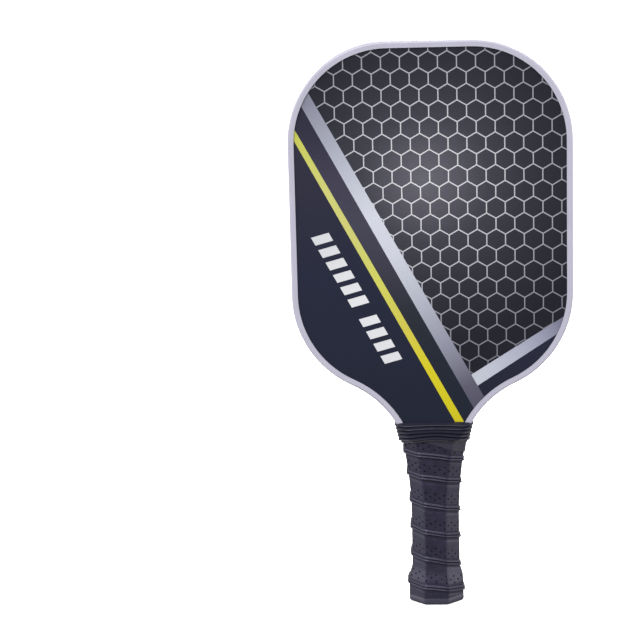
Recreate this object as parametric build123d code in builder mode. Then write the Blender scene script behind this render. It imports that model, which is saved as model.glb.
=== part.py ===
from build123d import *
from math import sqrt
import os

# A pickleball paddle, standing upright on its butt.
# Origin: centre of the butt's lowest face.  +Z runs up the handle to the crown of the head, X across the
# head, and the player's two hitting faces look along -Y (front) and +Y (back).  Millimetres throughout.

# ---- overall shape of the blade, to the outside of its edge guard ----
length = 403.0
half_width = 99.0
corner_radius = 70.0       # top corners
shoulder_radius = 72.0     # lower corners of the head
shoulder_z = 226.0         # where the straight sides start to turn in
neck_radius = 70.5         # hollow curve from the head down to the handle
neck_half = 17.4           # half width that the hollow curve would reach at its narrowest

# ---- laminated panel: honeycomb, scrim, face sheet and graphic film, on each side of the middle plane ----
core_half = 5.5
scrim_thickness = 0.2
sheet_thickness = 0.5
film_thickness = 0.15
scrim_face = core_half + scrim_thickness
sheet_face = scrim_face + sheet_thickness
film_face = sheet_face + film_thickness
cell_pitch = 8.0           # honeycomb cell, flat to flat, wall centre to wall centre
cell_wall = 0.36
core_rim = 0.5             # thin closed edge all round the honeycomb, where the cells are cut across
least_cell = 4.0           # cut cells with less area than this (mm2) are left filled

# ---- edge guard: a U-shaped rubber channel bonded round the head ----
guard_web = 1.2
guard_lip = 1.1
guard_reach = 4.4          # how far the lips reach in over the faces
guard_round = 1.5
film_gap = 0.1             # between the lips' edges and the printed film
guard_foot = 131.3         # the guard's two ends, hidden by the collar
bond_thickness = 0.3       # double-sided tape between the guard's web and the rim
panel_inset = guard_web + bond_thickness

# ---- tongue of the panel, and the octagonal handle built on it ----
tongue_half = 11.5
tongue_foot = 8.0
tongue_ledge = 121.0       # the panel steps out here, on top of the handle halves' side walls
handle_half = 15.2
handle_half_depth = 13.2
handle_bevel = 8.5
handle_foot = 3.5
flare_start = 62.0         # above this the handle widens towards the neck
flare_radius = 293.0
ramp_start = 121.0         # the handle halves thin out from here ...
ramp_end = 130.0           # ... to here
ramp_tip = 0.6             # thickness left at the thin end

# ---- butt cap ----
rim_grow = 4.35            # how far each surface stands out from the bare handle
skirt_grow = 2.5
skirt_end_grow = 0.6
rim_top = 5.0
skirt_straight = 14.0
skirt_top = 27.0
rim_chamfer = 1.6
staple_width = 10.0
staple_wire = 0.8
staple_leg = 8.0
staple_z = 9.5

# ---- wraps on the handle ----
tape_thickness = 1.85
tape_top = 121.0
finish_thickness = 0.25
finish_low = 112.5

# ---- ribbed rubber collar over the neck ----
collar_low = 119.0
collar_high = 133.5
collar_wall = 1.2
collar_low_size = (25.1, 17.8, 9.9)     # half width, half depth and bevel of the outside
collar_high_size = (28.9, 9.6, 2.3)
film_foot = 131.5          # the printed film stops just inside the collar

os.makedirs("parts", exist_ok=True)

# ---- centres of the two blending arcs at the head's lower corners ----
shoulder_x = half_width - shoulder_radius
neck_x = neck_half + neck_radius
neck_z = shoulder_z - sqrt((shoulder_radius + neck_radius) ** 2 - (neck_x - shoulder_x) ** 2)


def neck_at(z, inset):
    """Half width of the blade's hollow neck curve at height z, moved in by inset."""
    return neck_x - sqrt((neck_radius + inset) ** 2 - (z - neck_z) ** 2)


def draw_head(inset, foot):
    """Draw the right half of the head's outline, moved in by inset, from height foot up to the crown."""
    side = half_width - inset
    crown = length - inset
    corner_z = length - corner_radius
    share = (shoulder_radius - inset) / (shoulder_radius + neck_radius)
    turn = (shoulder_x + share * (neck_x - shoulder_x), shoulder_z + share * (neck_z - shoulder_z))
    shoulder = TangentArc((side, shoulder_z), turn, tangent=(0, -1))
    TangentArc(turn, (neck_at(foot, inset), foot), tangent=shoulder % 1)
    Line((side, shoulder_z), (side, corner_z))
    TangentArc((side, corner_z), (half_width - corner_radius, crown), tangent=(0, 1))
    Line((half_width - corner_radius, crown), (0, crown))


def draw_panel(inset, width_trim=0.0):
    """Draw the whole panel's outline: the head down to the ledge, and the tongue that goes into the handle."""
    tongue = tongue_half - width_trim
    draw_head(inset, tongue_ledge)
    Line((neck_at(tongue_ledge, inset), tongue_ledge), (tongue, tongue_ledge))
    Line((tongue, tongue_ledge), (tongue, tongue_foot + width_trim))
    Line((tongue, tongue_foot + width_trim), (0, tongue_foot + width_trim))
    mirror(about=Plane.YZ)


def layer(inner, outer, side):
    """One flat layer of the panel between two distances from the middle plane, on side -1 (front) or +1."""
    with BuildPart() as sheet:
        with BuildSketch(Plane.XZ.offset(-side * inner)):
            with BuildLine():
                draw_panel(panel_inset)
            make_face()
        extrude(amount=-side * (outer - inner))
    return sheet.part


def bevelled(half, depth, bevel):
    """Draw a rectangle of this half width and half depth with its corners cut off at 45 degrees."""
    corner = [(half, depth - bevel), (half - bevel, depth)]
    left = [(-x, y) for x, y in reversed(corner)]
    below = [(-x, -y) for x, y in corner + left]
    Polygon(*corner, *left, *below, align=None)


def bevel_at(grow):
    """The octagon's bevel once every side, the bevels too, has moved out by grow."""
    return handle_bevel + grow * (2 - sqrt(2))


def octagon(grow):
    """Draw the handle's octagon, every side moved out by grow."""
    bevelled(handle_half + grow, handle_half_depth + grow, bevel_at(grow))


def handle_blank(grow, low, high):
    """The octagonal handle with its flare towards the neck, every side moved out by grow."""
    half = handle_half + grow
    radius = flare_radius - grow
    top_x = handle_half + flare_radius - sqrt(radius ** 2 - (high - flare_start) ** 2)
    with BuildPart() as blank:
        with BuildSketch(Plane.XZ):
            with BuildLine():
                Line((0, low), (half, low))
                Line((half, low), (half, flare_start))
                TangentArc((half, flare_start), (top_x, high), tangent=(0, 1))
                Line((top_x, high), (0, high))
                mirror(about=Plane.YZ)
            make_face()
        extrude(amount=handle_half_depth + grow, both=True)
        faces = blank.faces().filter_by(Axis.Y)
        long_edges = faces.edges().filter_by(lambda edge: edge.bounding_box().size.Z > 1)
        chamfer(long_edges, length=bevel_at(grow))
    return blank.part


def write(piece, name):
    """Label a finished piece and write it as a STEP file."""
    piece.label = name
    export_step(piece, "parts/" + name + ".step")


# ---- honeycomb core: hexagonal tubes that run from face to face, cut across at the panel's rim ----
with BuildSketch() as cell_zone:
    with BuildLine():
        draw_panel(panel_inset + core_rim, width_trim=core_rim)
    make_face()

cell_radius = (cell_pitch - cell_wall) / 2
zone = cell_zone.face()
columns = int(2 * half_width / (cell_pitch * sqrt(3) / 2)) + 4
rows = int(length / cell_pitch) + 2
grid = HexLocations(cell_pitch / 2, columns, rows)


def corners_inside(centre):
    """How many corners of the cell at this centre lie inside the zone."""
    spoke = Vector(cell_radius * 2 / sqrt(3), 0)
    return sum(zone.is_inside(centre + spoke.rotate(Axis.Z, 60 * turn)) for turn in range(6))


cell_centres = [place.position + Vector(0, length / 2) for place in grid.locations]
inside = {tuple(centre): corners_inside(centre) for centre in cell_centres}
whole_cells = [centre for centre, count in inside.items() if count == 6]
edge_cells = [centre for centre, count in inside.items() if 0 < count < 6]

with BuildSketch() as cut_cells:
    with Locations(*edge_cells):
        RegularPolygon(cell_radius, 6, major_radius=False)
    add(cell_zone.sketch, mode=Mode.INTERSECT)
open_cut_cells = [cell for cell in cut_cells.faces() if cell.area > least_cell]

with BuildPart() as honeycomb_core:
    with BuildSketch(Plane.XZ.offset(-core_half)):
        with BuildLine():
            draw_panel(panel_inset)
        make_face()
        with Locations(*whole_cells):
            RegularPolygon(cell_radius, 6, major_radius=False, mode=Mode.SUBTRACT)
        add(open_cut_cells, mode=Mode.SUBTRACT)
    extrude(amount=2 * core_half)
write(honeycomb_core.part, "honeycomb_core")

# ---- skins of the panel ----
for side, name in ((-1, "front"), (1, "back")):
    write(layer(core_half, scrim_face, side), name + "_core_scrim")
    write(layer(scrim_face, sheet_face, side), name + "_face_sheet")

window_inset = guard_reach + film_gap
for side, name in ((-1, "front"), (1, "back")):
    with BuildPart() as film:
        with BuildSketch(Plane.XZ.offset(-side * sheet_face)):
            with BuildLine():
                draw_head(window_inset, film_foot)
                Line((neck_at(film_foot, window_inset), film_foot), (0, film_foot))
                mirror(about=Plane.YZ)
            make_face()
        extrude(amount=-side * film_thickness)
    write(film.part, name + "_graphic_film")

# ---- edge guard and the tape that bonds it to the rim ----
with BuildPart() as guard_bond_tape:
    with BuildSketch(Plane.XZ):
        with BuildLine():
            draw_head(guard_web, guard_foot)
            Line((neck_at(guard_foot, guard_web), guard_foot), (0, guard_foot))
            mirror(about=Plane.YZ)
        make_face()
        with BuildLine():
            draw_head(panel_inset, guard_foot)
            Line((neck_at(guard_foot, panel_inset), guard_foot), (0, guard_foot))
            mirror(about=Plane.YZ)
        make_face(mode=Mode.SUBTRACT)
    extrude(amount=sheet_face, both=True)
write(guard_bond_tape.part, "guard_bond_tape")

with BuildPart() as edge_guard:
    with BuildSketch(Plane.XZ):
        with BuildLine():
            draw_head(0, guard_foot)
            Line((neck_at(guard_foot, 0), guard_foot), (0, guard_foot))
            mirror(about=Plane.YZ)
        make_face()
    extrude(amount=sheet_face + guard_lip, both=True)
    rim_edges = edge_guard.faces().filter_by(Axis.Y).edges()
    fillet(rim_edges.filter_by(lambda edge: edge.center().Z > guard_foot + 1), radius=guard_round)
    with BuildSketch(Plane.XZ):
        with BuildLine():
            draw_head(guard_web, guard_foot)
            Line((neck_at(guard_foot, guard_web), guard_foot), (0, guard_foot))
            mirror(about=Plane.YZ)
        make_face()
    extrude(amount=sheet_face, both=True, mode=Mode.SUBTRACT)
    with BuildSketch(Plane.XZ):
        with BuildLine():
            draw_head(guard_reach, guard_foot)
            Line((neck_at(guard_foot, guard_reach), guard_foot), (0, guard_foot))
            mirror(about=Plane.YZ)
        make_face()
    extrude(amount=half_width, both=True, mode=Mode.SUBTRACT)
write(edge_guard.part, "edge_guard")

# ---- handle halves: a half octagon each, closed round the tongue and thinned out up the neck ----
bare_handle = handle_blank(0, handle_foot, ramp_end)
with BuildPart() as panel_block:
    with BuildSketch(Plane.XZ):
        with BuildLine():
            draw_panel(panel_inset)
        make_face()
    extrude(amount=sheet_face, both=True)

with BuildPart() as butt_cap_staples:
    for side in (-1, 1):
        crown_y = side * (handle_half_depth + skirt_grow - staple_wire / 2)
        with Locations((0, crown_y, staple_z)):
            Box(staple_width, staple_wire, staple_wire)
        leg_y = side * (handle_half_depth + skirt_grow - staple_leg / 2)
        with Locations(*[(x, leg_y, staple_z) for x in (-staple_width / 2, staple_width / 2)]):
            Box(staple_wire, staple_leg, staple_wire)
write(butt_cap_staples.part, "butt_cap_staples")

for side, name in ((-1, "front"), (1, "back")):
    with BuildPart() as pallet:
        add(bare_handle)
        split(bisect_by=Plane.XZ, keep=Keep.TOP if side < 0 else Keep.BOTTOM)
        add(panel_block.part, mode=Mode.SUBTRACT)
        add(butt_cap_staples.part, mode=Mode.SUBTRACT)
        with BuildSketch(Plane.YZ):
            tip_y = side * (sheet_face + ramp_tip)
            far_y = side * (handle_half_depth + 1)
            Polygon((side * handle_half_depth, ramp_start), (tip_y, ramp_end), (tip_y, ramp_end + 1),
                    (far_y, ramp_end + 1), (far_y, ramp_start), align=None)
        extrude(amount=half_width, both=True, mode=Mode.SUBTRACT)
    write(pallet.part, name + "_handle_pallet")

# ---- butt cap: a flared octagonal cup pushed over the end of the handle ----
with BuildPart() as butt_cap:
    with BuildSketch(Plane.XY):
        octagon(rim_grow)
    extrude(amount=rim_top)
    chamfer(butt_cap.faces().sort_by(Axis.Z)[0].edges(), length=rim_chamfer)
    with BuildSketch(Plane.XY.offset(rim_top)):
        octagon(skirt_grow)
    extrude(amount=skirt_straight - rim_top)
    with BuildSketch(Plane.XY.offset(skirt_straight)):
        octagon(skirt_grow)
    with BuildSketch(Plane.XY.offset(skirt_top)):
        octagon(skirt_end_grow)
    loft(ruled=True)
    with BuildSketch(Plane.XY.offset(handle_foot)):
        octagon(0)
    extrude(amount=skirt_top, mode=Mode.SUBTRACT)
    add(butt_cap_staples.part, mode=Mode.SUBTRACT)
write(butt_cap.part, "butt_cap")

# ---- grip tape: one closed sleeve that follows the cap's flare and the handle ----
tape_blank = handle_blank(tape_thickness, skirt_straight, tape_top)
with BuildPart() as butt_block:
    with BuildSketch(Plane.XY.offset(rim_top)):
        octagon(skirt_grow)
    extrude(amount=skirt_straight - rim_top)
    with BuildSketch(Plane.XY.offset(skirt_straight)):
        octagon(skirt_grow)
    with BuildSketch(Plane.XY.offset(skirt_top)):
        octagon(skirt_end_grow)
    loft(ruled=True)

with BuildPart() as grip_tape:
    add(tape_blank)
    with BuildSketch(Plane.XY.offset(rim_top)):
        octagon(rim_grow)
    extrude(amount=skirt_straight - rim_top)
    with BuildSketch(Plane.XY.offset(skirt_straight)):
        octagon(rim_grow)
    with BuildSketch(Plane.XY.offset(skirt_top)):
        octagon(tape_thickness)
    loft(ruled=True)
    add(bare_handle, mode=Mode.SUBTRACT)
    add(panel_block.part, mode=Mode.SUBTRACT)
    add(butt_block.part, mode=Mode.SUBTRACT)
write(grip_tape.part, "grip_tape")

# ---- finishing tape: a thin band that holds the end of the grip tape, half under the collar ----
finish_outer = handle_blank(tape_thickness + finish_thickness, skirt_top, tape_top)
with BuildPart() as finishing_tape:
    add(finish_outer)
    add(tape_blank, mode=Mode.SUBTRACT)
    add(bare_handle, mode=Mode.SUBTRACT)
    split(bisect_by=Plane.XY.offset(finish_low), keep=Keep.TOP)
write(finishing_tape.part, "finishing_tape")

# ---- rubber collar: a sleeve stretched over the neck, the guard's ends and the end of the grip ----
with BuildPart() as rubber_collar:
    for wall, mode in ((0, Mode.ADD), (collar_wall, Mode.SUBTRACT)):
        for height, (half, depth, bevel) in ((collar_low, collar_low_size), (collar_high, collar_high_size)):
            with BuildSketch(Plane.XY.offset(height)):
                bevelled(half - wall, depth - wall, bevel - wall * (2 - sqrt(2)))
        loft(ruled=True, mode=mode)
write(rubber_collar.part, "rubber_collar")
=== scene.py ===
# %% [markdown]
# # A pickleball paddle, built piece by piece
# The solid parts come from the CAD frame: a honeycomb panel, its skins, the handle and the edge guard.
# This lesson adds what a plain solid doesn't show: the printed face, the wound grip, the ribbed collar and
# the finish of every surface. The paddle stands on its butt, Z runs up to the crown, and the front looks
# along -Y.

# %% Load the frame
from math import atan2, cos, degrees, pi, radians, sin, sqrt
import bpy
import numpy as np
from mathutils import Matrix, Vector


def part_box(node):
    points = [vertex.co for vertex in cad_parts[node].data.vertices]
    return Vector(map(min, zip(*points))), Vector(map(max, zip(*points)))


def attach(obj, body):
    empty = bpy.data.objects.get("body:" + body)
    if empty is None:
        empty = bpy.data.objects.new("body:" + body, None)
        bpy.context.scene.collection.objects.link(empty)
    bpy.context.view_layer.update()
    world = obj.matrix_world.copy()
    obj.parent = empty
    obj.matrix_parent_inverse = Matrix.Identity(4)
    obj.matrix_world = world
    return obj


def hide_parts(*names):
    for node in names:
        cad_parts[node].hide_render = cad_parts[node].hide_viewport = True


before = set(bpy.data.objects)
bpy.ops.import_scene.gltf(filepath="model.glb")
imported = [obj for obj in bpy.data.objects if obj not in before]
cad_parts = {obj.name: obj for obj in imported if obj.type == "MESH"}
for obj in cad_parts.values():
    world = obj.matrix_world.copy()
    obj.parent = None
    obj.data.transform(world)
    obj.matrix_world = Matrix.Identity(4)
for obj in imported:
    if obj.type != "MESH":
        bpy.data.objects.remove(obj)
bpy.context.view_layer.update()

# %% [markdown]
# ## The sizes that everything hangs on
# A maker works in millimetres and Blender works in metres, so every size below is a number of
# millimetres times mm. They are the sizes that the solid parts were drawn with. The places of the layers
# aren't typed again: they are read from the frame.

# %% Driving sizes
mm = 0.001
handle_half = 15.2 * mm
handle_half_depth = 13.2 * mm
handle_bevel = 8.5 * mm
flare_start = 62 * mm
flare_radius = 293 * mm
rim_grow = 4.35 * mm
skirt_grow = 2.5 * mm
skirt_end_grow = 0.6 * mm
rim_top = 5 * mm
skirt_straight = 14 * mm
skirt_top = 27 * mm
handle_foot = 3.5 * mm
tape_thickness = 1.85 * mm
film_low, film_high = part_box("front_graphic_film")
face_y = film_low.y
print("printed face at y =", round(face_y / mm, 2), "mm, up to z =", round(film_high.z / mm, 1), "mm")

# %% [markdown]
# ## Working in edit mode
# Every modelling tool acts on what is selected. These short helpers put one piece under the tools, and
# choose its faces by where they are or which way they look, as a hand would click on them.

# %% Helpers for selecting
def only(piece):
    """Leave edit mode, and make this piece the only one that the tools act on."""
    if bpy.context.object and bpy.context.object.mode != "OBJECT":
        bpy.ops.object.mode_set(mode="OBJECT")
    bpy.ops.object.select_all(action="DESELECT")
    piece.select_set(True)
    bpy.context.view_layer.objects.active = piece


def edit(piece, everything=False):
    """Open a piece in edit mode with nothing, or everything, selected."""
    only(piece)
    bpy.ops.object.mode_set(mode="EDIT")
    bpy.ops.mesh.select_mode(type="FACE")
    bpy.ops.mesh.select_all(action="SELECT" if everything else "DESELECT")


def pick_faces(piece, test):
    """Select just the faces that pass the test, and stay in edit mode."""
    edit(piece)
    bpy.ops.object.mode_set(mode="OBJECT")
    for face in piece.data.polygons:
        face.select = test(face)
    bpy.ops.object.mode_set(mode="EDIT")


def pull(x=0.0, y=0.0, z=0.0):
    """Extrude what is selected by this much."""
    bpy.ops.mesh.extrude_region_move(TRANSFORM_OT_translate={"value": (x, y, z)})


def outward(piece):
    """Point every face of a closed piece outwards."""
    edit(piece, everything=True)
    bpy.ops.mesh.normals_make_consistent(inside=False)
    bpy.ops.object.mode_set(mode="OBJECT")


def copy_of_node(node, name):
    """A new piece with a CAD node's mesh, its loose triangles merged and its flat areas made whole."""
    piece = bpy.data.objects.new(name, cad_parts[node].data.copy())
    bpy.context.scene.collection.objects.link(piece)
    piece.data.materials.clear()
    edit(piece, everything=True)
    bpy.ops.mesh.remove_doubles(threshold=0.001 * mm)
    bpy.ops.mesh.dissolve_limited(angle_limit=radians(0.5))
    bpy.ops.object.mode_set(mode="OBJECT")
    return piece


def finish_piece(piece, finish, nodes=(), smooth_angle=40):
    """Bake a piece's place into its mesh, smooth it, give it its finish and hang it on the paddle."""
    only(piece)
    bpy.ops.object.transform_apply(location=True, rotation=True, scale=True)
    bpy.ops.object.shade_smooth_by_angle(angle=radians(smooth_angle))
    piece.data.materials.clear()
    piece.data.materials.append(finish)
    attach(piece, "root")
    if nodes:
        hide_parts(*nodes)
    print(piece.name, "has", len(piece.data.polygons), "faces")
    return piece


# %% [markdown]
# ## Building finishes from nodes
# A finish is a small network. It starts from the object's own coordinates, which are metres in the frame,
# so a pattern keeps its real scale on every piece. A noise gives the fine unevenness that real materials
# have, a ramp turns it into colour, and a bump turns it into relief.

# %% Helpers for finishes
studio_light = 1.84  # how much brighter than its own colour a surface looks under the studio's lamps


def shade(red, green, blue):
    """A colour as it looks in the studio, 0 to 255, as the linear colour that nodes work with."""
    linear = [((value / 255 + 0.055) / 1.055) ** 2.4 / studio_light for value in (red, green, blue)]
    return (*linear, 1.0)


class Finish:
    """One material, and short ways to add to its network."""

    def __init__(self, name, roughness, specular=0.5):
        self.material = bpy.data.materials.new(name)
        self.material.use_nodes = True
        self.tree = self.material.node_tree
        self.shader = self.tree.nodes["Principled BSDF"]
        self.shader.inputs["Roughness"].default_value = roughness
        self.shader.inputs["Specular IOR Level"].default_value = specular

    def add(self, kind, values=(), **settings):
        """Add a node, set its properties, and feed its sockets with numbers or other sockets."""
        node = self.tree.nodes.new(kind)
        for name, value in settings.items():
            setattr(node, name, value)
        for socket, value in dict(values).items():
            if isinstance(value, bpy.types.NodeSocket):
                self.tree.links.new(value, node.inputs[socket])
            else:
                node.inputs[socket].default_value = value
        return node

    def place(self, scale=(1000, 1000, 1000), turn=(0, 0, 0)):
        """The object's coordinates in millimetres, scaled or turned as the pattern needs."""
        coordinates = self.add("ShaderNodeTexCoord").outputs["Object"]
        mapping = self.add("ShaderNodeMapping", {"Vector": coordinates, "Scale": scale, "Rotation": turn})
        return mapping.outputs["Vector"]

    def noise(self, vector, scale, detail=3.0):
        """Soft unevenness; scale is how many blots there are in a millimetre."""
        node = self.add("ShaderNodeTexNoise", {"Vector": vector, "Scale": scale, "Detail": detail})
        return node.outputs["Fac"]

    def ramp(self, factor, stops):
        """Colour from a factor; stops are (place from 0 to 1, colour)."""
        node = self.add("ShaderNodeValToRGB", {"Fac": factor})
        band = node.color_ramp
        while len(band.elements) < len(stops):
            band.elements.new(1.0)
        for element, (place, colour) in zip(band.elements, stops):
            element.position = place
            element.color = colour
        return node.outputs["Color"]

    def spread(self, value, low, high, to_low=0.0, to_high=1.0):
        """Stretch a value's range from low..high to to_low..to_high."""
        node = self.add("ShaderNodeMapRange", {"Value": value, "From Min": low, "From Max": high,
                                               "To Min": to_low, "To Max": to_high})
        return node.outputs["Result"]

    def mix(self, factor, first, second, blend="MIX"):
        """Mix two colours."""
        node = self.add("ShaderNodeMix", data_type="RGBA", blend_type=blend)
        for socket, value in ((0, factor), (6, first), (7, second)):
            if isinstance(value, bpy.types.NodeSocket):
                self.tree.links.new(value, node.inputs[socket])
            else:
                node.inputs[socket].default_value = value
        return node.outputs[2]

    def along(self, vector, point, direction):
        """How far a place lies from a point in a direction, in millimetres."""
        shifted = self.add("ShaderNodeVectorMath", {0: vector, 1: point}, operation="SUBTRACT")
        dot = self.add("ShaderNodeVectorMath", {0: shifted.outputs[0], 1: direction}, operation="DOT_PRODUCT")
        return dot.outputs["Value"]

    def colour(self, socket):
        self.tree.links.new(socket, self.shader.inputs["Base Color"])

    def rough(self, socket):
        self.tree.links.new(socket, self.shader.inputs["Roughness"])

    def relief(self, height, depth_mm, strength=1.0):
        """Turn a height from 0 to 1 into relief this many millimetres deep."""
        bump = self.add("ShaderNodeBump", {"Height": height, "Distance": depth_mm * mm, "Strength": strength})
        self.tree.links.new(bump.outputs["Normal"], self.shader.inputs["Normal"])


def mottled(name, dark, light, blots, roughness, depth_mm, specular=0.5):
    """A moulded or woven surface: two near colours in soft blots, with uneven gloss and a fine relief."""
    finish = Finish(name, roughness, specular)
    vector = finish.place()
    noise = finish.noise(vector, blots)
    fine = finish.noise(vector, blots * 6, 2.0)
    finish.colour(finish.ramp(noise, [(0.3, shade(*dark)), (0.7, shade(*light))]))
    finish.rough(finish.spread(fine, 0.3, 0.7, roughness - 0.06, roughness + 0.06))
    finish.relief(fine, depth_mm)
    return finish.material


# %% [markdown]
# ## Finishes of the parts inside
# The core, its fleece, the laminate, the bonding tape, the foam handle halves and the steel staples are
# hidden in a finished paddle. They still get their own finishes, so that a paddle shown with its parts
# apart looks right. Each CAD node keeps its shape and takes its finish through its material slot.

# %% Inside parts
def dress(node, finish):
    """Give a CAD node its finish."""
    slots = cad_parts[node].material_slots
    for slot in slots:
        slot.material = finish


core_finish = mottled("core_polymer_finish", (214, 218, 216), (232, 236, 233), 0.15, 0.42, 0.02)
fleece_finish = mottled("core_fleece_finish", (205, 205, 200), (235, 235, 230), 1.2, 0.85, 0.06)
laminate_finish = mottled("face_laminate_finish", (150, 158, 140), (176, 182, 160), 0.9, 0.4, 0.03)
bond_finish = mottled("bond_tape_finish", (225, 222, 214), (240, 238, 232), 0.5, 0.6, 0.02)
foam_finish = mottled("handle_foam_finish", (188, 176, 140), (212, 200, 165), 1.5, 0.9, 0.08)
for node in ("front_core_scrim", "back_core_scrim"):
    dress(node, fleece_finish)
for node in ("front_face_sheet", "back_face_sheet"):
    dress(node, laminate_finish)
for node in ("front_handle_pallet", "back_handle_pallet"):
    dress(node, foam_finish)
dress("honeycomb_core", core_finish)
dress("guard_bond_tape", bond_finish)

staple_finish = Finish("staple_steel_finish", 0.3)
staple_finish.shader.inputs["Metallic"].default_value = 1.0
brushed = staple_finish.noise(staple_finish.place((400, 4000, 4000)), 1.0)
staple_finish.colour(staple_finish.ramp(brushed, [(0.3, shade(160, 160, 165)), (0.7, shade(200, 200, 205))]))
staple_finish.rough(staple_finish.spread(brushed, 0.3, 0.7, 0.24, 0.4))
dress("butt_cap_staples", staple_finish.material)
print("dressed the hidden parts")

# %% [markdown]
# ## The edge guard
# The guard is a soft U-shaped channel, extruded from a pale grey-violet rubber and glued round the head.
# Its CAD node already has the right section and rounded lips, so it only gets its finish. Extruded rubber
# is satin, a little mottled, and slightly duller where hands and courts have rubbed it.

# %% Guard finish
guard_finish = Finish("guard_rubber_finish", 0.42, 0.45)
guard_place = guard_finish.place()
guard_blots = guard_finish.noise(guard_place, 0.05, 4.0)
guard_grain = guard_finish.noise(guard_place, 5.0, 2.0)
guard_tone = guard_finish.ramp(guard_blots, [(0.3, shade(192, 190, 208)), (0.7, shade(200, 198, 216))])
guard_finish.colour(guard_tone)
guard_finish.rough(guard_finish.spread(guard_grain, 0.3, 0.7, 0.36, 0.5))
guard_finish.relief(guard_grain, 0.012)
dress("edge_guard", guard_finish.material)
print("dressed the edge guard")

# %% [markdown]
# ## The print's layout
# The face is a printed film. Its design is a field of thin hexagons over a dark ground, cut off by a wide
# silver band that falls from the upper left to the neck, a thin yellow stripe beside it, and a short
# silver band that rises to the right. The dark ground and the hexagons are lighter round a point high on
# the head. Every edge is a straight line, so a line needs only two points, (across, up) in millimetres.
# The back of the paddle carries the same print, turned half round.

# %% Lines of the print
band_right = ((-83.8, 369.6), (35.0, 152.8))
band_left = ((-88.7, 360.2), (27.4, 145.0))
stripe_right = ((-93.4, 343.3), (21.3, 133.3))
stripe_left = ((-94.0, 335.5), (15.4, 132.5))
short_band_top = ((26.7, 167.3), (91.1, 207.8))
short_band_foot = ((31.1, 159.3), (86.6, 195.5))
glow_centre = (-3.7, 306.9)
cell_width = 13.06 * mm
cell_centre = (12.7 * mm, 298.0 * mm)
line_width = 0.8 * mm


def direction_of(line):
    """The unit direction of a line from its first point to its second."""
    (x1, z1), (x2, z2) = line
    length = sqrt((x2 - x1) ** 2 + (z2 - z1) ** 2)
    return (x2 - x1) / length, (z2 - z1) / length


def left_of(line):
    """The unit direction that points to the left of a line, seen from the front."""
    dx, dz = direction_of(line)
    return -dz, dx


band_across, band_up = direction_of(band_right)
print("the bands fall at", round(degrees(atan2(-band_up, band_across))), "degrees")

# %% [markdown]
# ## The film
# The film is flat, so its CAD node is already right. The finish paints the dark fields: charcoal behind
# the hexagons, lighter round a point high on the head, a navy field left of the stripe, a darker gap
# between stripe and band, and a navy corner under the short band. The navy field and the corner get
# lighter higher up, and the gap is lightest part way up. Fields meet under the bands, so no edge of the
# finish shows, and the bands themselves are thin pieces with crisp edges. A faint slanting grain runs
# through.

# %% Film finish
def middle(first, second):
    """The point half way between two lines' starts."""
    return ((first[0][0] + second[0][0]) / 2, (first[0][1] + second[0][1]) / 2)


def past_line(finish, vector, first, second):
    """0 on the left of the line that runs between two lines, and 1 on its right."""
    point = middle(first, second)
    left = left_of(first)
    distance = finish.along(vector, (point[0], 0, point[1]), (-left[0], 0, -left[1]))
    return finish.spread(distance, -0.2, 0.2)


def dark_film(name, side):
    """The dark printed fields; side is 1 on the front, and -1 on the back, where the print is turned."""
    finish = Finish(name, 0.38, 0.18)
    vector = finish.place((1000 * side, 1000, 1000))
    flat = finish.add("ShaderNodeVectorMath", {0: vector, 1: (1, 0, 1)}, operation="MULTIPLY").outputs[0]
    # The charcoal ground is lighter round a point high on the head and darker towards its edges.
    away = finish.add("ShaderNodeVectorMath", {0: flat, 1: (glow_centre[0], 0, glow_centre[1])},
                      operation="DISTANCE").outputs["Value"]
    glow = finish.ramp(finish.spread(away, 0, 150), [
        (0.0, shade(106, 106, 116)), (0.1, shade(95, 94, 105)), (0.3, shade(65, 65, 76)),
        (0.47, shade(50, 50, 61)), (0.6, shade(41, 41, 52)), (0.8, shade(29, 29, 41)),
        (1.0, shade(27, 27, 38))])
    height = finish.add("ShaderNodeSeparateXYZ", {0: vector}).outputs["Z"]
    left_field = finish.ramp(finish.spread(height, 150, 350), [
        (0.0, shade(28, 33, 52)), (0.45, shade(34, 38, 60)), (1.0, shade(53, 50, 67))])
    gap_field = finish.ramp(finish.spread(height, 150, 360), [
        (0.0, shade(27, 35, 50)), (0.15, shade(31, 38, 52)), (0.3, shade(41, 46, 56)),
        (0.45, shade(61, 59, 75)), (0.6, shade(71, 70, 86)), (0.76, shade(66, 63, 83)),
        (0.9, shade(50, 49, 69)), (1.0, shade(43, 43, 62))])
    corner_field = finish.ramp(finish.spread(height, 130, 200), [
        (0.0, shade(28, 30, 48)), (1.0, shade(37, 40, 62))])
    under_band = past_line(finish, vector, short_band_top, short_band_foot)
    field = finish.mix(under_band, glow, corner_field)
    past_band = past_line(finish, vector, band_left, band_right)
    field = finish.mix(past_band, field, gap_field)
    past_stripe = past_line(finish, vector, stripe_right, stripe_left)
    field = finish.mix(past_stripe, field, left_field)
    grain_place = finish.place((180 * side, 180, 2600), (0, radians(-30 * side), 0))
    grain = finish.noise(grain_place, 1.0, 2.0)
    tone = finish.ramp(grain, [(0.25, (0.9, 0.9, 0.9, 1)), (0.75, (1.1, 1.1, 1.1, 1))])
    finish.colour(finish.mix(1.0, field, tone, "MULTIPLY"))
    finish.rough(finish.spread(finish.noise(vector, 0.8), 0.3, 0.7, 0.3, 0.4))
    finish.relief(finish.noise(vector, 1.5, 2.0), 0.01)
    return finish.material


dress("front_graphic_film", dark_film("front_print_fields", 1))
dress("back_graphic_film", dark_film("back_print_fields", -1))
print("painted the fields of both films")

# %% [markdown]
# ## Printed bands as thin pieces
# Screen ink has a thickness, about a hundredth of a millimetre. Here each band is a copy of the film's
# own front face, cut along its two lines with bisect and then extruded a few hundredths, so it ends
# exactly where the film ends. The gradient of each band is a ramp along its length.

# %% Cutting a band from the film
ink_sunk = 0.02 * mm
ink_thickness = 0.05 * mm


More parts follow.
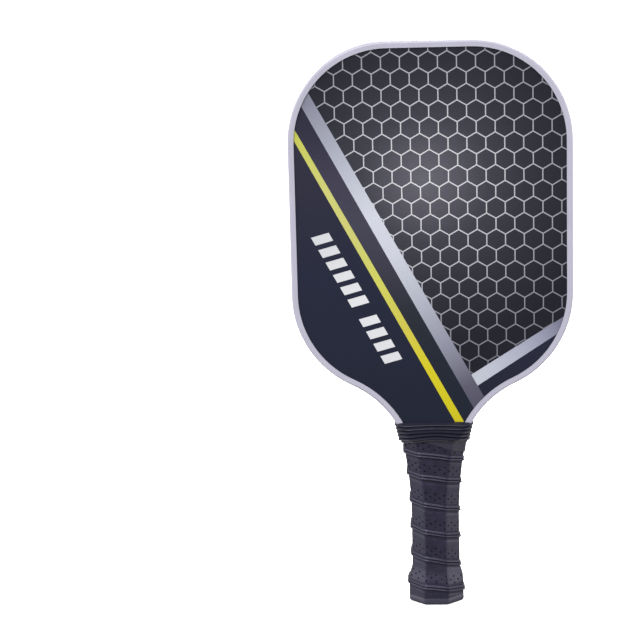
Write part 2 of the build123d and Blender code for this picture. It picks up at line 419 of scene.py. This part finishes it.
def film_face(name):
    """The front face of the film, as one open face."""
    piece = copy_of_node("front_graphic_film", name)
    pick_faces(piece, lambda face: face.normal.y > -0.9)
    bpy.ops.mesh.delete(type="FACE")
    return piece


def keep_beside(piece, line, side):
    """Cut a face along a line and keep what is on its left (side 1) or right (side -1)."""
    (x, z), _ = line
    left = left_of(line)
    edit(piece, everything=True)
    bpy.ops.mesh.bisect(plane_co=(x * mm, 0, z * mm), plane_no=(left[0] * side, 0, left[1] * side),
                        clear_inner=True, threshold=0.0001 * mm)
    bpy.ops.object.mode_set(mode="OBJECT")


def thicken_ink(piece, top=0.0):
    """Give an ink shape its thickness, with its underside sunk into the film."""
    edit(piece, everything=True)
    bpy.ops.transform.translate(value=(0, ink_sunk, 0))
    pull(y=-ink_thickness - top)
    outward(piece)


def turned_copy(piece, name):
    """The same ink on the back of the paddle."""
    copy = piece.copy()
    copy.data = piece.data.copy()
    copy.name = name
    bpy.context.scene.collection.objects.link(copy)
    copy.rotation_euler.z = pi
    return copy


def ink_finish(name, line, stops, side, roughness=0.32):
    """An ink whose colour runs along a line of the print, with a slight unevenness."""
    finish = Finish(name, roughness, 0.4)
    vector = finish.place((1000 * side, 1000, 1000))
    (x1, z1), (x2, z2) = line
    dx, dz = direction_of(line)
    length = sqrt((x2 - x1) ** 2 + (z2 - z1) ** 2)
    run = finish.spread(finish.along(vector, (x1, 0, z1), (dx, 0, dz)), 0, length)
    colour = finish.ramp(run, [(place, shade(*tone)) for place, tone in stops])
    blots = finish.ramp(finish.noise(vector, 1.2), [
        (0.3, (0.97, 0.97, 0.97, 1)), (0.7, (1.03, 1.03, 1.03, 1))])
    finish.colour(finish.mix(1.0, colour, blots, "MULTIPLY"))
    finish.rough(finish.spread(finish.noise(vector, 0.8), 0.3, 0.7, roughness - 0.05, roughness + 0.05))
    return finish.material


def print_both_sides(piece, name, finish_of_side):
    """Hang an ink piece on the front and its turned copy on the back."""
    finish_piece(turned_copy(piece, "back_" + name), finish_of_side(-1), smooth_angle=20)
    finish_piece(piece, finish_of_side(1), smooth_angle=20)


# %% The wide silver band, the yellow stripe and the short band
silver_stops = [(0.0, (140, 141, 160)), (0.2, (188, 191, 207)), (0.38, (222, 225, 238)),
                (0.5, (216, 219, 232)), (0.65, (188, 191, 206)), (0.8, (151, 152, 171)),
                (0.94, (94, 92, 111)), (1.0, (84, 82, 102))]
wide_band = film_face("front_silver_band")
keep_beside(wide_band, band_right, -1)
keep_beside(wide_band, band_left, 1)
thicken_ink(wide_band, 0.01 * mm)
print_both_sides(wide_band, "silver_band",
                 lambda side: ink_finish("silver_band_ink", band_left, silver_stops, side))

yellow_stops = [(0.0, (208, 210, 84)), (0.2, (218, 217, 124)), (0.38, (216, 214, 118)), (0.5, (218, 219, 98)),
                (0.65, (218, 208, 80)), (0.8, (224, 210, 24)), (0.94, (218, 205, 0)), (1.0, (218, 205, 0))]
stripe = film_face("front_yellow_stripe")
keep_beside(stripe, stripe_right, -1)
keep_beside(stripe, stripe_left, 1)
thicken_ink(stripe)
print_both_sides(stripe, "yellow_stripe",
                 lambda side: ink_finish("yellow_stripe_ink", stripe_right, yellow_stops, side))

short_stops = [(0.0, (204, 208, 220)), (0.2, (199, 202, 217)), (0.5, (181, 184, 203)), (0.8, (151, 153, 176)),
               (1.0, (120, 120, 144))]
short_band = film_face("front_short_band")
keep_beside(short_band, short_band_top, -1)
keep_beside(short_band, short_band_foot, 1)
keep_beside(short_band, band_right, 1)
thicken_ink(short_band)
print_both_sides(short_band, "short_band",
                 lambda side: ink_finish("short_band_ink", short_band_top, short_stops, side))

# %% [markdown]
# ## The field of hexagons
# One cell is a circle with six vertices. Insetting its face by half a line's width and deleting the
# middle leaves a thin ring, and array modifiers repeat it over the head, so that neighbouring rings make
# whole lines. The grid is cut to its field with a Boolean: both are made thick, because a Boolean works
# best on solids that pass through each other, and the result is pressed flat afterwards.

# %% One cell, repeated and cut
cell_radius = cell_width / sqrt(3)
columns_left = 9           # steps of the grid to the left of the cell that its place is taken from
rows_down = 8              # pairs of rows below that cell
grid_columns = 18
grid_row_pairs = 13
grid_half_depth = 5 * mm
field_half_depth = 4 * mm
bpy.ops.object.select_all(action="DESELECT")
bpy.ops.mesh.primitive_circle_add(vertices=6, radius=cell_radius, fill_type="NGON",
                                  location=(0, 0, 0), rotation=(pi / 2, 0, 0))
hexagons = bpy.context.object
hexagons.name = "front_hex_lines"
bpy.ops.object.transform_apply(location=True, rotation=True, scale=True)
edit(hexagons, everything=True)
bpy.ops.mesh.inset(thickness=line_width / 2)
bpy.ops.mesh.delete(type="FACE")
bpy.ops.object.mode_set(mode="OBJECT")
print("one cell has", len(hexagons.data.polygons), "faces")


def repeat(piece, count, x=0.0, z=0.0):
    """Repeat a piece at an even step, and make the copies one piece with it."""
    only(piece)
    array = piece.modifiers.new("repeat", "ARRAY")
    array.count = count
    array.use_relative_offset = False
    array.use_constant_offset = True
    array.constant_offset_displace = (x, 0, z)
    bpy.ops.object.modifier_apply(modifier=array.name)


hexagons.location = (cell_centre[0] - columns_left * cell_width, 0,
                     cell_centre[1] - rows_down * 3 * cell_radius)
repeat(hexagons, 2, cell_width / 2, 1.5 * cell_radius)
repeat(hexagons, grid_row_pairs, z=3 * cell_radius)
repeat(hexagons, grid_columns, x=cell_width)
bpy.ops.object.transform_apply(location=True, rotation=True, scale=True)
edit(hexagons, everything=True)
bpy.ops.mesh.remove_doubles(threshold=0.01 * mm)
bpy.ops.transform.translate(value=(0, grid_half_depth, 0))
pull(y=-2 * grid_half_depth)
outward(hexagons)

hex_field = film_face("hex_field")
keep_beside(hex_field, band_right, 1)
keep_beside(hex_field, short_band_top, 1)
edit(hex_field, everything=True)
bpy.ops.transform.translate(value=(0, -face_y - field_half_depth, 0))
pull(y=2 * field_half_depth)
outward(hex_field)

only(hexagons)
cut = hexagons.modifiers.new("cut to the field", "BOOLEAN")
cut.operation = "INTERSECT"
cut.object = hex_field
bpy.ops.object.modifier_apply(modifier=cut.name)
bpy.data.objects.remove(hex_field)
edit(hexagons, everything=True)
bpy.ops.transform.resize(value=(1, ink_thickness / (2 * field_half_depth), 1), center_override=(0, 0, 0))
bpy.ops.transform.translate(value=(0, face_y + ink_sunk - ink_thickness / 2, 0))
bpy.ops.object.mode_set(mode="OBJECT")
print("the hexagons reach z =", round(max(v.co.z for v in hexagons.data.vertices) / mm, 1), "mm")


# %% Hexagon ink
def hex_ink(side):
    """Pale ink that is brightest over the glow and greyer towards the edges of the head."""
    finish = Finish("hex_line_ink", 0.32, 0.4)
    vector = finish.place((1000 * side, 1000, 1000))
    flat = finish.add("ShaderNodeVectorMath", {0: vector, 1: (1, 0, 1)}, operation="MULTIPLY").outputs[0]
    away = finish.add("ShaderNodeVectorMath", {0: flat, 1: (glow_centre[0], 0, glow_centre[1])},
                      operation="DISTANCE").outputs["Value"]
    finish.colour(finish.ramp(finish.spread(away, 0, 140), [
        (0.0, shade(242, 242, 246)), (0.4, shade(204, 204, 212)), (0.7, shade(156, 156, 167)),
        (1.0, shade(118, 118, 131))]))
    finish.rough(finish.spread(finish.noise(vector, 0.8), 0.3, 0.7, 0.28, 0.38))
    return finish.material


print_both_sides(hexagons, "hex_lines", hex_ink)

# %% [markdown]
# ## Plain bars beside the stripe
# A row of white marks runs down the navy field. Here it is a plain row of slanted bars with one gap: one
# plane is slid into a slanted bar by moving its upper edge, extruded, and repeated along the slope.

# %% Slanted bars
bar_foot_line = ((-84.2, 267.6), (-29.3, 167.4))
bar_count = 6
second_count = 4
bar_height = 12.6 * mm
bar_width = 6.4 * mm
bar_step = 10.2 * mm
bar_gap = 6.0 * mm
bar_slant = 3.0 * mm


def bar_row(name, count, start):
    """A row of slanted bars that starts this far along the foot line."""
    dx, dz = direction_of(bar_foot_line)
    (x, z), _ = bar_foot_line
    bpy.ops.object.select_all(action="DESELECT")
    bpy.ops.mesh.primitive_plane_add(size=1, location=(bar_width / 2, 0, bar_height / 2),
                                     rotation=(pi / 2, 0, 0))
    row = bpy.context.object
    row.name = name
    row.scale = (bar_width, bar_height, 1)
    bpy.ops.object.transform_apply(location=True, rotation=True, scale=True)
    only(row)
    for vertex in row.data.vertices:
        if vertex.co.z > bar_height / 2:
            vertex.co.x += bar_slant
    repeat(row, count, x=bar_step)
    row.rotation_euler.y = atan2(-dz, dx)
    row.location = (x * mm + dx * start, face_y + ink_sunk, z * mm + dz * start)
    bpy.ops.object.transform_apply(location=True, rotation=True, scale=True)
    edit(row, everything=True)
    pull(y=-ink_thickness)
    outward(row)
    return row


bars = bar_row("front_bars", bar_count, 0)
second_bars = bar_row("front_second_bars", second_count, bar_count * bar_step + bar_gap)
only(bars)
second_bars.select_set(True)
bpy.ops.object.join()
white_stops = [(0.0, (226, 227, 232)), (0.5, (240, 240, 244)), (1.0, (230, 231, 236))]
print_both_sides(bars, "bars", lambda side: ink_finish("bar_ink", bar_foot_line, white_stops, side))

# %% [markdown]
# ## The handle's section
# The handle is an octagon: a wide flat in front and behind, a narrow flat at each side, and four bevels
# between. Everything wound or pushed on to it follows that section with its corners rounded. The next
# function walks round such a section: share 0 is the middle of the right side, a quarter is the middle of
# the front, a half is the left side, and three quarters is the back.

# %% Walking round the section
def walk_round(half, depth, bevel, rounding, share):
    """The place (x, y) and the outward direction at a share of the way round a rounded octagon."""
    tangent = rounding * (sqrt(2) - 1)
    arc = rounding * pi / 4
    side_flat = depth - bevel - tangent
    slope = bevel * sqrt(2) - 2 * tangent
    front_flat = half - bevel - tangent
    quarter = side_flat + slope + front_flat + 2 * arc
    place = (share % 1) * 4
    corner = int(place)
    part = place - corner
    run = (1 - part if corner % 2 else part) * quarter
    if run < side_flat:
        x, y, angle = half, run, 0
    elif run < side_flat + arc:
        angle = (run - side_flat) / rounding
        x, y = half - rounding + rounding * cos(angle), side_flat + rounding * sin(angle)
    elif run < side_flat + arc + slope:
        angle = pi / 4
        step = (run - side_flat - arc) * cos(angle)
        x = half - rounding + rounding * cos(angle) - step
        y = side_flat + rounding * sin(angle) + step
    elif run < side_flat + slope + 2 * arc:
        angle = pi / 4 + (run - side_flat - arc - slope) / rounding
        x, y = front_flat + rounding * cos(angle), depth - rounding + rounding * sin(angle)
    else:
        angle = pi / 2
        x, y = quarter - run, depth
    across = 1 if corner in (0, 3) else -1
    ahead = -1 if corner in (0, 1) else 1
    return x * across, y * ahead, cos(angle) * across, sin(angle) * ahead


def bevel_at(grow):
    """The bevel of the octagon once every side has moved out by grow."""
    return handle_bevel + grow * (2 - sqrt(2))


print("front of the bare handle:", [round(value / mm, 1) for value in walk_round(
    handle_half, handle_half_depth, handle_bevel, 1 * mm, 0.25)[:2]])

# %% [markdown]
# ## The butt cap
# A moulded cap closes the handle's end: a flared rim that stops the hand, a thinner skirt that the tape
# covers, and a shallow recess underneath. It starts as a cylinder whose ring of vertices is moved on to
# the rounded octagon. The top face is then inset and extruded into the skirt and down again to hollow the
# cup. The foot's face is inset and scaled down for the recess, because a deep inset would cross itself at
# the rounded corners. A wide bevel on the rim's lower edge gives the soft moulded look, and a narrow one
# breaks its upper edge.

# %% Butt cap
cap_vertices = 96
cap_rounding = 2.5 * mm
cap_start_radius = 20 * mm
foot_bevel = 1.6 * mm
rim_bevel = 0.35 * mm
recess_margin = 0.3 * mm
recess_scale = (0.86, 0.84, 1)
recess_depth = 0.9 * mm
same_height = 0.01 * mm


def move_to_section(vertices, grow, count):
    """Move a ring of vertices on to the octagon that stands out from the bare handle by grow."""
    for vertex in vertices:
        share = -atan2(vertex.co.y, vertex.co.x) / (2 * pi)
        share = round(share * count) / count
        x, y, _, _ = walk_round(handle_half + grow, handle_half_depth + grow, bevel_at(grow),
                                cap_rounding, share)
        vertex.co.x, vertex.co.y = x, y


bpy.ops.object.select_all(action="DESELECT")
bpy.ops.mesh.primitive_cylinder_add(vertices=cap_vertices, radius=cap_start_radius, depth=rim_top,
                                    location=(0, 0, rim_top / 2), end_fill_type="NGON")
cap = bpy.context.object
cap.name = "butt_cap_moulded"
bpy.ops.object.transform_apply(location=True, rotation=True, scale=True)
move_to_section(cap.data.vertices, rim_grow, cap_vertices)
pick_faces(cap, lambda face: face.normal.z > 0.9)
bpy.ops.mesh.inset(thickness=rim_grow - skirt_grow)
pull(z=skirt_straight - rim_top)
pull(z=skirt_top - skirt_straight)
skirt_scale = ((handle_half + skirt_end_grow) / (handle_half + skirt_grow),
               (handle_half_depth + skirt_end_grow) / (handle_half_depth + skirt_grow), 1)
bpy.ops.transform.resize(value=skirt_scale, center_override=(0, 0, skirt_top))
bpy.ops.mesh.inset(thickness=skirt_end_grow)
pull(z=handle_foot - skirt_top)
pick_faces(cap, lambda face: face.normal.z < -0.9 and face.center.z < same_height)
bpy.ops.mesh.inset(thickness=recess_margin)
bpy.ops.transform.resize(value=recess_scale, center_override=(0, 0, 0))
pull(z=recess_depth)


def pick_edges(piece, test):
    """Select just the edges whose two ends pass the test, and stay in edit mode."""
    edit(piece)
    bpy.ops.mesh.select_mode(type="EDGE")
    bpy.ops.object.mode_set(mode="OBJECT")
    points = piece.data.vertices
    for edge in piece.data.edges:
        edge.select = all(test(points[index].co) for index in edge.vertices)
    bpy.ops.object.mode_set(mode="EDIT")


foot_half = handle_half + rim_grow
foot_depth = handle_half_depth + rim_grow
foot_diagonal = foot_half + foot_depth - bevel_at(rim_grow)
foot_reach = 0.25 * mm       # how far a rounded corner's points lie inside the octagon's straight sides


def on_outer_foot(point):
    """On the outer edge of the rim's foot, rounded corners included."""
    across = abs(point.x)
    deep = abs(point.y)
    on_edge = (across > foot_half - foot_reach or deep > foot_depth - foot_reach or
               across + deep > foot_diagonal - foot_reach * sqrt(2))
    return point.z < same_height and on_edge


pick_edges(cap, on_outer_foot)
print("the foot's edge is", cap.data.total_edge_sel, "edges long")
bpy.ops.mesh.bevel(offset=foot_bevel, segments=4)
pick_edges(cap, lambda point: abs(point.z - rim_top) < same_height)
bpy.ops.mesh.bevel(offset=rim_bevel, segments=2)
outward(cap)
cap_finish = mottled("cap_plastic_finish", (52, 50, 68), (58, 56, 75), 0.25, 0.42, 0.03, 0.35)
finish_piece(cap, cap_finish, ["butt_cap"], 35)

# %% [markdown]
# ## The wound grip
# The grip is one long cushioned strip, wound round the handle from the butt to the neck. Its lower edge
# carries a raised double bead, three staggered rows of air holes run above it, and its upper edge is
# skived thin and tucked under the next turn. The strip is first made flat, as a grid that is one unit
# long per column and one unit high per row. Holes are pressed into the flat strip, and only then is each
# vertex laid on the handle: along becomes the way round, across becomes the height. A bend tool can't
# follow an octagon that flares, so the laying is done with the section function above.

# %% Heights of the ridge
turn_shares = (0.0, 0.25, 0.5)
ridge_right = (8.9, 26.7, 48.2, 67.8, 88.7, 105.0)
ridge_front = (13.3, 33.4, 53.3, 73.6, 94.5, 111.0)
ridge_left = (15.5, 36.4, 57.0, 76.6, 96.6, 112.5)
known_turns = [-1.0, -0.5] + [turn + share for turn in range(6) for share in turn_shares] + [6.0, 6.6, 7.4]
known_heights = [-9.0, 0.5]
for heights in zip(ridge_right, ridge_front, ridge_left):
    known_heights += heights
known_heights += [122.0, 134.0, 150.0]


def ridge_height(turn):
    """Height of the middle of the double bead, after this many turns from the right side."""
    eased = [np.interp(turn + shift, known_turns, known_heights) for shift in (-0.1, -0.05, 0, 0.05, 0.1)]
    return float(np.mean(eased)) * mm


print("the ridge climbs", round((ridge_height(5) - ridge_height(0)) / 5 / mm, 1), "mm a turn")

# %% Rows of the strip
bead = 1.85                # height of one bead of the ridge; this and the next sizes are in millimetres
hole_row = 0.767           # height of a grid row where the holes are
first_hole = 6.3           # height of the lowest row of holes
hole_rows = (0, 1, 2)
ridge_rows = [0.0, 0.08, 0.25, 0.5, 0.85, 1.3, 1.7, 1.85, 1.93, 2.1, 2.35, 2.75, 3.2, 3.6, 3.8]
ridge_relief = [0.0, 0.65, 1.1, 1.25, 1.15, 0.8, 0.35, 0.05, 0.35, 0.75, 0.9, 0.8, 0.45, 0.1, -0.1]
flat_rows = [4.2] + [first_hole + hole_row * step for step in range(-1, 8)]
tuck_rows = [-2.3, -1.75, -1.2, -0.35, 0.1, 2.2]
tuck_relief = [0.0, -0.16, 0.0, 0.0, -0.9, -1.0]
hole_columns = 6
column_count_per_turn = 96
first_turn = -1.0
last_turn = 6.2
columns = round((last_turn - first_turn) * column_count_per_turn)
first_hole_row = len(ridge_rows) + 2
row_total = len(ridge_rows) + len(flat_rows) + 2 + len(tuck_rows)
back_flag = -10.0          # the depth that marks the strip's inner side until it is laid
hole_depth = 1.3


def strip_point(row, turn):
    """Height above the ridge's middle, and relief, in millimetres, of a row that may lie between two rows."""
    width = (ridge_height(turn + 1) - ridge_height(turn)) / mm
    low = flat_rows[-1]
    high = width + tuck_rows[0]
    between = [low + (high - low) * share for share in (1 / 3, 2 / 3)]
    heights = ridge_rows + flat_rows + between + [width + value for value in tuck_rows]
    relief = ridge_relief + [0.0] * (len(flat_rows) + 2) + tuck_relief
    return np.interp(row, range(row_total), heights) - bead, np.interp(row, range(row_total), relief)


print(columns, "columns and", row_total, "rows")

# %% A flat strip with pressed holes
bpy.ops.object.select_all(action="DESELECT")
bpy.ops.mesh.primitive_grid_add(x_subdivisions=columns, y_subdivisions=row_total - 1, size=1)
strip = bpy.context.object
strip.name = "grip_strip"
for vertex in strip.data.vertices:
    vertex.co.x = round((vertex.co.x + 0.5) * columns)
    vertex.co.y = round((vertex.co.y + 0.5) * (row_total - 1))


def hole_centres():
    """Column and row of every hole: three rows, each staggered by half a step."""
    for line in hole_rows:
        start = column_count_per_turn + (hole_columns // 2) * (line % 2)
        for column in range(start, columns - 2, hole_columns):
            yield column, first_hole_row + 3 * line


centres = set(hole_centres())
way_round = 106.0          # once round the handle's straight part, in millimetres
column_length = way_round / column_count_per_turn
hole_radius = 0.65
pressed_area = 0.45        # the faces inside a hole's rim are smaller than this, in squares of the grid
vertex_at = {(int(v.co.x), int(v.co.y)): v for v in strip.data.vertices}
for column, row in centres:
    for step in ((1, 0), (1, 1), (0, 1), (-1, 1), (-1, 0), (-1, -1), (0, -1), (1, -1)):
        angle = atan2(step[1] * hole_row, step[0] * column_length)
        rim = vertex_at[(column + step[0], row + step[1])]
        rim.co.x = column + hole_radius * cos(angle) / column_length
        rim.co.y = row + hole_radius * sin(angle) / hole_row
edit(strip, everything=True)
pull(z=back_flag)
pick_faces(strip, lambda face: face.center.z > -0.5 and any(
    (int(face.center.x + dx), int(face.center.y + dy)) in centres for dx in (0, 1) for dy in (0, 1))
    and face.area < pressed_area)
print(sum(face.select for face in strip.data.polygons), "faces are pressed in for", len(centres), "holes")
pull(z=-hole_depth)
outward(strip)

# %% [markdown]
# ## Laying the strip on the handle
# The tape's surface follows the handle: straight through the middle, flared to the neck, and swelling
# over the cap's rim at the butt. Above the end of the octagon it thins with the handle, out of sight
# under the collar. After the laying, two bisect cuts trim the strip level at both ends and close it.

# %% Laying the strip
collar_start = 121 * mm
strip_top = 127 * mm
tape_rounding = 3.5 * mm
sink_start = 122.5 * mm    # from here up the strip is out of sight, and thins to stay under the collar
sink_slope = 0.9
sink_bevel_share = 0.6
inside_under_ridge = -0.5  # how far the strip's inner side lies from its surface, in millimetres
inside_under_flat = -1.75


def tape_section(height):
    """Half width, half depth and bevel of the tape's surface at a height."""
    swell = min(max((skirt_top - height) / (skirt_top - skirt_straight), 0), 1)
    swell = swell * swell * (3 - 2 * swell)
    grow = tape_thickness + (rim_grow - tape_thickness) * swell
    half = handle_half + grow
    if height > flare_start:
        flare = min(height, collar_start) - flare_start
        half = handle_half + flare_radius - sqrt((flare_radius - grow) ** 2 - flare ** 2)
    sink = max(height - sink_start, 0) * sink_slope
    return half, handle_half_depth + grow - sink, bevel_at(grow) - sink * sink_bevel_share


for vertex in strip.data.vertices:
    column, row, depth = vertex.co
    turn = first_turn + column / column_count_per_turn
    above, relief = strip_point(row, turn)
    height = ridge_height(turn) + above * mm
    if depth < back_flag / 2:
        stand = inside_under_ridge if row < len(ridge_rows) else inside_under_flat
    else:
        stand = relief + depth
    half, half_depth, bevel = tape_section(height)
    x, y, out_x, out_y = walk_round(half, half_depth, bevel, tape_rounding, turn)
    vertex.co = (x + out_x * stand * mm, y + out_y * stand * mm, height)
for level, side in ((rim_top, -1), (strip_top, 1)):
    edit(strip, everything=True)
    bpy.ops.mesh.bisect(plane_co=(0, 0, level), plane_no=(0, 0, side), clear_outer=True, use_fill=True)
outward(strip)

# %% [markdown]
# ## The grip's finish
# Cushioned tape has a soft satin skin. Two near violet-black tones lie in blots, and streaks run round the
# handle where the tape was stretched. A fine relief of cells and streaks breaks up the highlights.

# %% Grip finish
grip_finish = Finish("grip_cushion_finish", 0.42, 0.36)
grip_finish.shader.inputs["Specular Tint"].default_value = (0.84, 0.82, 1.0, 1)
grip_place = grip_finish.place()
grip_streaks = grip_finish.noise(grip_finish.place((90, 90, 2200)), 1.0)
grip_cells = grip_finish.add("ShaderNodeTexVoronoi", {"Vector": grip_place, "Scale": 2.2},
                             feature="SMOOTH_F1").outputs["Distance"]
grip_noise = grip_finish.noise(grip_place, 0.25, 4.0)
grip_colour = grip_finish.ramp(grip_noise, [(0.3, shade(28, 26, 45)), (0.7, shade(38, 35, 56))])
grip_tone = grip_finish.ramp(grip_streaks, [(0.3, (0.6, 0.6, 0.6, 1)), (0.7, (1.4, 1.4, 1.4, 1))])
grip_finish.colour(grip_finish.mix(1.0, grip_colour, grip_tone, "MULTIPLY"))
grip_finish.rough(grip_finish.spread(grip_noise, 0.3, 0.7, 0.36, 0.48))
grip_height = grip_finish.add("ShaderNodeMath", {0: grip_cells, 1: grip_streaks},
                              operation="ADD").outputs["Value"]
grip_finish.relief(grip_height, 0.07, 0.8)
finish_piece(strip, grip_finish.material, ["grip_tape"], 50)

# %% [markdown]
# ## Lofting a sleeve
# The finishing tape and the collar are both sleeves: a wall that goes once round the handle. A torus
# already has that form, so each starts as one. Its small loop becomes the section of the wall and its
# large loop the way round, and each vertex is moved to its place by the function that describes the
# sleeve. The result is closed by its nature.

# %% A torus made into a sleeve
def sleeve(name, around, wall, place_vertex):
    """A closed sleeve; place_vertex(share round, step of the wall's loop) gives each vertex its place."""
    bpy.ops.object.select_all(action="DESELECT")
    bpy.ops.mesh.primitive_torus_add(major_segments=around, minor_segments=wall,
                                     major_radius=20 * mm, minor_radius=2 * mm)
    piece = bpy.context.object
    piece.name = name
    for vertex in piece.data.vertices:
        share = vertex.index // wall / around
        vertex.co = place_vertex(share, vertex.index % wall)
    outward(piece)
    return piece


# %% [markdown]
# ## Finishing tape
# A turn of thin shiny vinyl tape holds the end of the grip. Its lower edge was laid by hand, so it slants:
# it comes out from under the collar at the right and goes under it at the left.

# %% Finishing tape
vinyl_thickness = 0.7 * mm
vinyl_middle = 118.9 * mm
vinyl_slope = 0.37
vinyl_latest = 122.0 * mm
vinyl_top = 123.0 * mm
vinyl_inside = -0.3 * mm
vinyl_measured = 112 * mm  # the height at which the slope's run across is taken


def vinyl_place(share, step):
    """Corners of the tape's wall: inside low, outside low, outside high, inside high."""
    x, _, _, _ = walk_round(*tape_section(vinyl_measured), tape_rounding, share)
    low = min(vinyl_middle - vinyl_slope * x, vinyl_latest)
    height = low if step in (0, 1) else vinyl_top
    stand = vinyl_thickness if step in (1, 2) else vinyl_inside
    half, depth, bevel = tape_section(height)
    x, y, out_x, out_y = walk_round(half, depth, bevel, tape_rounding, share)
    return x + out_x * stand, y + out_y * stand, height


vinyl = sleeve("finishing_tape_turn", 192, 4, vinyl_place)
vinyl_finish = mottled("finishing_vinyl_finish", (44, 42, 58), (50, 48, 66), 0.3, 0.34, 0.02, 0.35)
finish_piece(vinyl, vinyl_finish, ["finishing_tape"], 40)

# %% [markdown]
# ## The ribbed collar
# A stretchy rubber collar is pushed down over the neck, where the flat head runs into the handle. Five
# ribs run round it, steep below and sloping off above. Its section changes from the grip's octagon at the
# bottom to the flat rectangle of the head at the top, and the stretch draws its middle up in an arch,
# front and back. The wall's loop is: up the outside over the ribs, over the top lip, and down the inside.

# %% Collar
rib_count = 5
rib_steps = 8
rib_points = (0.0, 0.1, 0.22, 0.5, 1.0)
rib_profile = (0.0, 0.85, 1.0, 0.72, 0.0)
lip_share = 0.1            # plain lip below the lowest rib, as a share of the collar's height
rib_height = 1.8 * mm
collar_wall = 0.8 * mm
collar_side = (118.2 * mm, 133.0 * mm)
collar_middle = (122.1 * mm, 133.4 * mm)
# A section is a half width, a half depth, a bevel and the rounding of its corners.
collar_low_section = (23.6 * mm, 17.0 * mm, 9.0 * mm, 7.0 * mm)
collar_ease = 1.3          # the section stays full at first, and narrows faster towards the head
collar_high_section = (26.9 * mm, 7.2 * mm, 2.0 * mm, 3.0 * mm)
outside_steps = rib_count * rib_steps + 5
inside_steps = 6


def collar_place(share, step):
    """A vertex of the collar's wall."""
    middle_share = sin(2 * pi * share) ** 2
    low = collar_side[0] + (collar_middle[0] - collar_side[0]) * middle_share
    high = collar_side[1] + (collar_middle[1] - collar_side[1]) * middle_share
    if step < outside_steps:
        up = step / (outside_steps - 1)
        rib = max(up - lip_share, 0) / (1 - lip_share) * rib_count
        stand = rib_height * float(np.interp(rib % 1, rib_points, rib_profile))
    else:
        up = 1 - (step - outside_steps) / (inside_steps - 1)
        stand = -collar_wall
    sizes = [low_size + (high_size - low_size) * up ** collar_ease
             for low_size, high_size in zip(collar_low_section, collar_high_section)]
    x, y, out_x, out_y = walk_round(*sizes, share)
    return x + out_x * stand, y + out_y * stand, low + (high - low) * up


collar = sleeve("ribbed_collar", 192, outside_steps + inside_steps, collar_place)
collar_finish = mottled("collar_rubber_finish", (24, 24, 41), (31, 30, 51), 0.4, 0.42, 0.02, 0.28)
finish_piece(collar, collar_finish, ["rubber_collar"], 60)

# %% [markdown]
# ## Floor, light and camera
# The paddle stands in a plain white tray with tall sides, so that no edge or horizon shows. The tray glows
# a little, which washes out shadows, but its light doesn't reach the paddle, so undersides stay dark. A
# dim even sky fills in, two soft suns light the front and the back from above, and a large box at each
# side lights the bevels of the handle. The camera stands in front, a little higher than the crown, and
# looks down with a long lens.

# %% Floor
tray_size = 12.0
tray_height = 3.0
floor_gap = 0.1 * mm

bpy.ops.object.select_all(action="DESELECT")
bpy.ops.mesh.primitive_plane_add(size=tray_size, location=(0, 0, -floor_gap))
floor = bpy.context.object
floor.name = "studio_floor"
edit(floor)
bpy.ops.mesh.select_mode(type="EDGE")
bpy.ops.mesh.select_all(action="SELECT")
bpy.ops.mesh.extrude_edges_move(TRANSFORM_OT_translate={"value": (0, 0, tray_height)})
bpy.ops.object.mode_set(mode="OBJECT")
floor_finish = Finish("floor_finish", 0.9, 0.0)
floor_blots = floor_finish.noise(floor_finish.place((1, 1, 1)), 2.0)
floor_finish.colour(floor_finish.ramp(floor_blots, [
    (0.3, (0.93, 0.93, 0.93, 1)), (0.7, (0.96, 0.96, 0.96, 1))]))
floor_finish.shader.inputs["Emission Color"].default_value = (1, 1, 1, 1)
floor_finish.shader.inputs["Emission Strength"].default_value = 0.5
floor.data.materials.append(floor_finish.material)
floor.visible_diffuse = False
floor.visible_glossy = False

# %% Light
scene = bpy.context.scene
scene.view_settings.view_transform = "Standard"
world = bpy.data.worlds.new("studio_sky")
scene.world = world
world.use_nodes = True
world.node_tree.nodes["Background"].inputs["Color"].default_value = (1, 1, 1, 1)
world.node_tree.nodes["Background"].inputs["Strength"].default_value = 0.6


def soft_lamp(name, kind, place, power, aim=(0, 0, 0.2), **settings):
    """A lamp at a place that looks at the paddle, and that no camera sees."""
    lamp = bpy.data.lights.new(name, kind)
    lamp.energy = power
    for setting, value in settings.items():
        setattr(lamp, setting, value)
    stand = bpy.data.objects.new(name, lamp)
    stand.location = place
    stand.rotation_euler = (Vector(aim) - Vector(place)).to_track_quat("-Z", "Y").to_euler()
    stand.visible_camera = False
    scene.collection.objects.link(stand)
    return stand


soft_lamp("overhead_light", "SUN", (-0.35, -1.0, 1.3), 3.8, angle=radians(40))
soft_lamp("back_light", "SUN", (0.35, 1.0, 0.9), 2.8, angle=radians(40))
soft_lamp("left_box", "AREA", (-2.2, -0.4, 0.6), 58, size=2.4)
soft_lamp("right_box", "AREA", (2.2, -0.4, 0.6), 60, size=2.4)

# %% Camera
camera_data = bpy.data.cameras.new("camera")
camera_data.lens = 112.5
camera_data.sensor_width = 36
camera_data.clip_end = 200
camera = bpy.data.objects.new("camera", camera_data)
camera.location = (-0.0017, -1.3916, 0.4866)
look = Vector((-0.0549, 0.979, -0.1964))
roll = radians(-1.53)
camera.rotation_euler = (look.to_track_quat("-Z", "Y").to_matrix() @ Matrix.Rotation(roll, 3, "Z")).to_euler()
scene.collection.objects.link(camera)
scene.camera = camera
print("camera looks down by", round(degrees(-atan2(look.z, look.y)), 1), "degrees")
